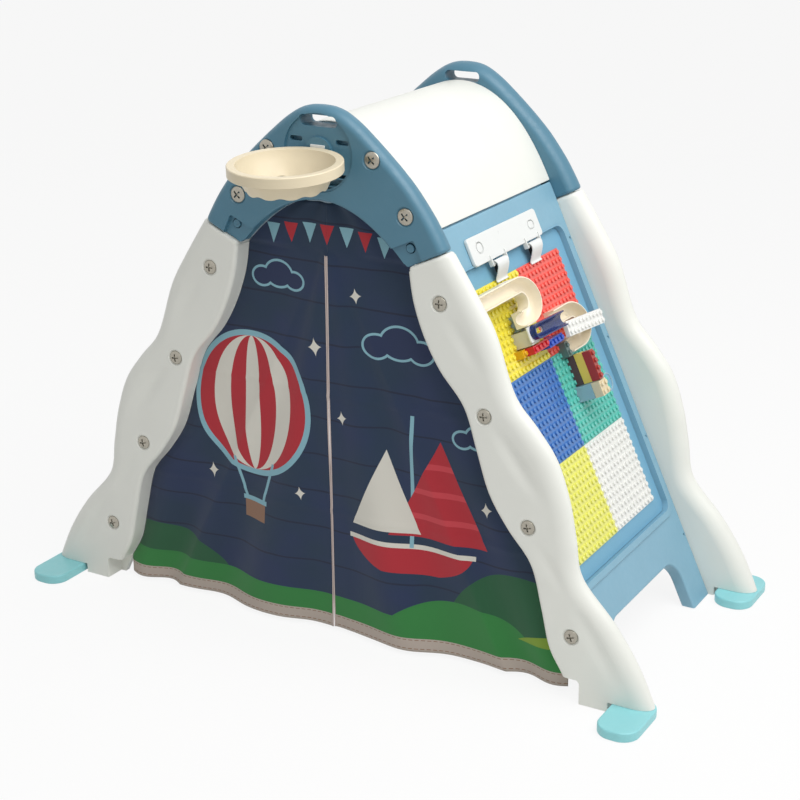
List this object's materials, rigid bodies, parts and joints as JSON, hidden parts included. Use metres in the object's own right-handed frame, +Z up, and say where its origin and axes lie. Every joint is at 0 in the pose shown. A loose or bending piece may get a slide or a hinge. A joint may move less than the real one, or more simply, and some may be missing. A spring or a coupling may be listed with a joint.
{
  "type": "toddler play tent and activity set",
  "caption": "Moulded A-frame play tent with a cloth front, basket hoop, clamp board and block wall with a marble run.",
  "frame": {"origin": "on the floor, at the middle of the object's outline seen from above", "axes": "+Z up, +X to the right of the cloth front (the block wall's side), -Y out of the cloth front"},
  "size_m": [1.446, 0.8993, 1.104],
  "materials": {
    "blue_plastic": "satin moulded",
    "white_plastic": "satin moulded",
    "light_blue_plastic": "satin moulded",
    "nickel_steel": "nickel plated",
    "cream_plastic": "satin moulded",
    "cloth": "printed woven polyester",
    "board": "printed sheet",
    "cream_brick": "gloss",
    "ice_brick": "gloss",
    "grey_brick": "gloss",
    "yellow_brick": "gloss",
    "red_brick": "gloss",
    "blue_brick": "gloss",
    "white_brick": "gloss",
    "navy_clear": "clear tinted",
    "slate_brick": "gloss",
    "brown_brick": "gloss",
    "mustard_brick": "gloss",
    "yellow_plate": "gloss",
    "red_plate": "gloss",
    "blue_plate": "gloss",
    "teal_plate": "gloss",
    "pale_yellow_plate": "gloss",
    "white_plate": "gloss"
  },
  "bodies": {
    "frame": {"block_plate_blue": "blue_plate", "block_plate_pale_yellow": "pale_yellow_plate", "block_plate_red": "red_plate", "block_plate_teal": "teal_plate", "block_plate_white": "white_plate", "block_plate_yellow": "yellow_plate", "brick_blue": "blue_brick", "brick_brown_inner": "brown_brick", "brick_brown_outer": "brown_brick", "brick_grey_tall": "grey_brick", "brick_light_blue": "ice_brick", "brick_red": "red_brick", "brick_slate": "slate_brick", "brick_yellow_middle": "mustard_brick", "brick_yellow_small": "yellow_brick", "clamp_plate": "white_plastic", "cloth_side_left": "cloth", "cloth_side_right": "cloth", "cloth_top": "cloth", "front_head": "blue_plastic", "front_left_foot": "light_blue_plastic", "front_left_leg": "white_plastic", "front_right_foot": "light_blue_plastic", "front_right_leg": "white_plastic", "head_screw_left_1": "nickel_steel", "head_screw_left_2": "nickel_steel", "head_screw_right_1": "nickel_steel", "head_screw_right_2": "nickel_steel", "hoop": "cream_plastic", "hoop_bracket": "white_plastic", "left_side_panel": "blue_plastic", "leg_screw_left_1": "nickel_steel", "leg_screw_left_2": "nickel_steel", "leg_screw_left_3": "nickel_steel", "leg_screw_left_4": "nickel_steel", "leg_screw_right_1": "nickel_steel", "leg_screw_right_2": "nickel_steel", "leg_screw_right_3": "nickel_steel", "leg_screw_right_4": "nickel_steel", "marble_outlet": "ice_brick", "marble_track_lower": "cream_brick", "marble_track_upper": "cream_brick", "marble_tunnel": "navy_clear", "rear_head": "blue_plastic", "rear_left_foot": "light_blue_plastic", "rear_left_leg": "white_plastic", "rear_right_foot": "light_blue_plastic", "rear_right_leg": "white_plastic", "right_board": "board", "right_side_panel": "blue_plastic", "roof_panel": "white_plastic", "white_beam": "white_brick"},
    "cloth_door_right": {"cloth_door_right": "cloth"},
    "cloth_door_left": {"cloth_door_left": "cloth"},
    "clamp_lever_front": {"clamp_lever_front": "white_plastic"},
    "clamp_lever_rear": {"clamp_lever_rear": "white_plastic"},
    "button_front_left": {"front_left_button": "blue_plastic"},
    "button_front_right": {"front_right_button": "blue_plastic"},
    "button_rear_left": {"rear_left_button": "blue_plastic"},
    "button_rear_right": {"rear_right_button": "blue_plastic"}
  },
  "joints": [
    {"name": "cloth_door_right_swing", "type": "hinge", "parent": "frame", "child": "cloth_door_right", "pos_m": [0.016, -0.19725, 0.812], "axis": [-0.4318, 0, 0.902], "range_deg": [-70, 75]},
    {"name": "cloth_door_left_swing", "type": "hinge", "parent": "frame", "child": "cloth_door_left", "pos_m": [-0.016, -0.19725, 0.812], "axis": [-0.4318, 0, -0.902], "range_deg": [-70, 75]},
    {"name": "clamp_lever_front_lift", "type": "hinge", "parent": "frame", "child": "clamp_lever_front", "pos_m": [0.26397, 0.01475, 0.78261], "axis": [0, -1, 0], "range_deg": [0, 40], "stiffness_Nm_per_rad": 0.05, "springref_deg": -17.19},
    {"name": "clamp_lever_rear_lift", "type": "hinge", "parent": "frame", "child": "clamp_lever_rear", "pos_m": [0.26397, 0.16825, 0.78261], "axis": [0, -1, 0], "range_deg": [0, 40], "stiffness_Nm_per_rad": 0.05, "springref_deg": -17.19},
    {"name": "button_front_left_press", "type": "slide", "parent": "frame", "child": "button_front_left", "axis": [0, 1, 0], "range_m": [0, 0.004], "stiffness_N_per_m": 400, "springref_m": -0.003},
    {"name": "button_front_right_press", "type": "slide", "parent": "frame", "child": "button_front_right", "axis": [0, 1, 0], "range_m": [0, 0.004], "stiffness_N_per_m": 400, "springref_m": -0.003},
    {"name": "button_rear_left_press", "type": "slide", "parent": "frame", "child": "button_rear_left", "axis": [0, -1, 0], "range_m": [0, 0.004], "stiffness_N_per_m": 400, "springref_m": -0.003},
    {"name": "button_rear_right_press", "type": "slide", "parent": "frame", "child": "button_rear_right", "axis": [0, -1, 0], "range_m": [0, 0.004], "stiffness_N_per_m": 400, "springref_m": -0.003}
  ]
}
